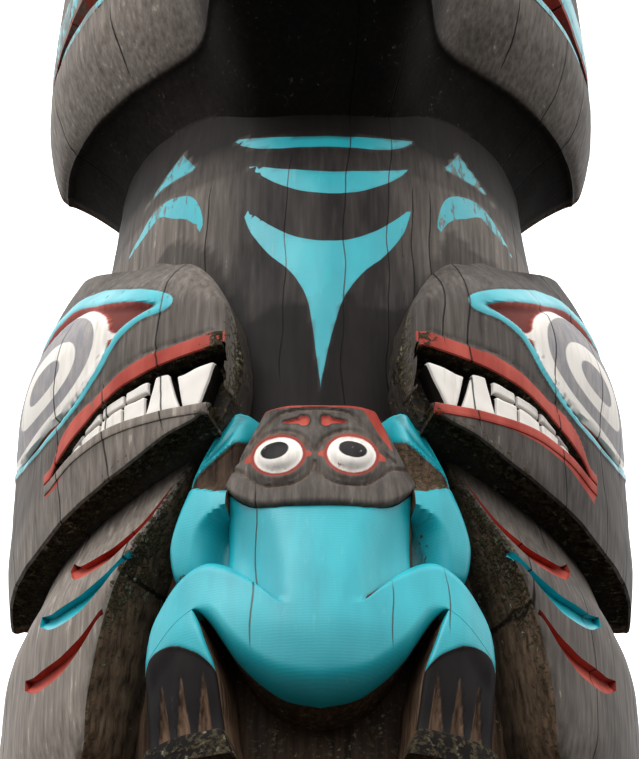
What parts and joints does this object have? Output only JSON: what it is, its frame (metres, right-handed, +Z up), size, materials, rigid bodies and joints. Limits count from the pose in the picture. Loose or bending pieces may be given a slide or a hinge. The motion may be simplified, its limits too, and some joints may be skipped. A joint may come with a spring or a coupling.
{
  "type": "totem pole",
  "caption": "Painted cedar totem pole carved from one log: an open-mouthed beast's head above a dark chest, two toothed profile heads with finned bodies, and a frog between them.",
  "frame": {"origin": "the log's heart on the ground face, under the middle of the carving and 30 mm in front of the flat back", "axes": "+Z up the pole, -Y the way the frog and the upper head look, +X to the viewer's right"},
  "size_m": [1.0428, 0.7417, 2.885],
  "materials": {
    "painted_cedar": "weathered matt paint, cracked, with moss in the hollows"
  },
  "bodies": {
    "root": {"totem_pole": "painted_cedar"}
  },
  "joints": []
}
